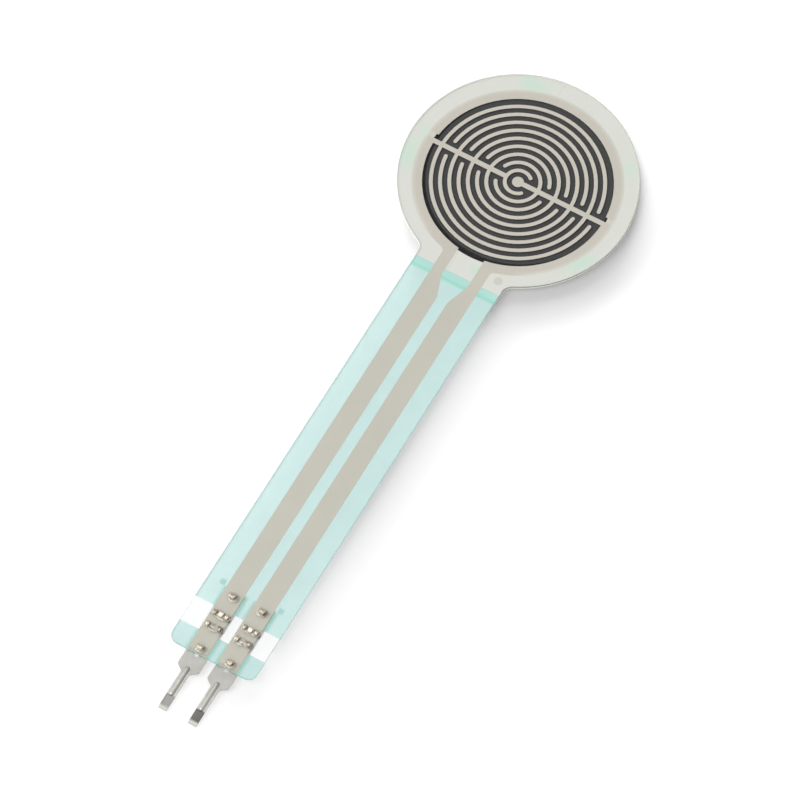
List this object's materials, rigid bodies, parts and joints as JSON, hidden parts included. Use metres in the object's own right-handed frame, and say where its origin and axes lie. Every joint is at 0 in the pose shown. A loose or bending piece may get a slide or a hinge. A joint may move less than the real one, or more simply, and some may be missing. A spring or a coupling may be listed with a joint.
{
  "type": "force sensor",
  "caption": "Round thin-film force sensor: printed finger electrodes over a carbon disc, with a straight flexible tail and crimped solder tabs.",
  "frame": {"origin": "centre of the round head, on the underside of the release liner", "axes": "+Z out of the sensing face, -Y along the tail to the solder tabs, +X to the right as seen from the sensing face"},
  "size_m": [0.0188, 0.0614, 0.0009],
  "materials": {
    "electrode_film": "clear glossy polyester film",
    "silver_print": "printed silver ink, satin, warm grey",
    "dielectric_print": "translucent pale green print",
    "mark_print": "translucent green print, one more layer",
    "carbon_print": "matt black carbon ink",
    "spacer_adhesive": "clear adhesive",
    "semiconductor_film": "clear polyester film",
    "rear_adhesive": "thin adhesive",
    "release_liner": "pale grey-white liner",
    "tin_plate": "satin tin plating"
  },
  "bodies": {
    "root": {"electrode_film": "electrode_film", "left_electrode": "silver_print", "right_electrode": "silver_print", "upper_ring_print": "silver_print", "registration_dot": "silver_print", "dielectric_coat": "dielectric_print", "end_dielectric_strip": "dielectric_print", "location_marks": "mark_print", "spacer_adhesive": "spacer_adhesive", "carbon_disc": "carbon_print", "semiconductor_film": "semiconductor_film", "rear_adhesive": "rear_adhesive", "release_liner_left": "release_liner", "release_liner_right": "release_liner", "left_terminal": "tin_plate", "right_terminal": "tin_plate"}
  },
  "joints": []
}
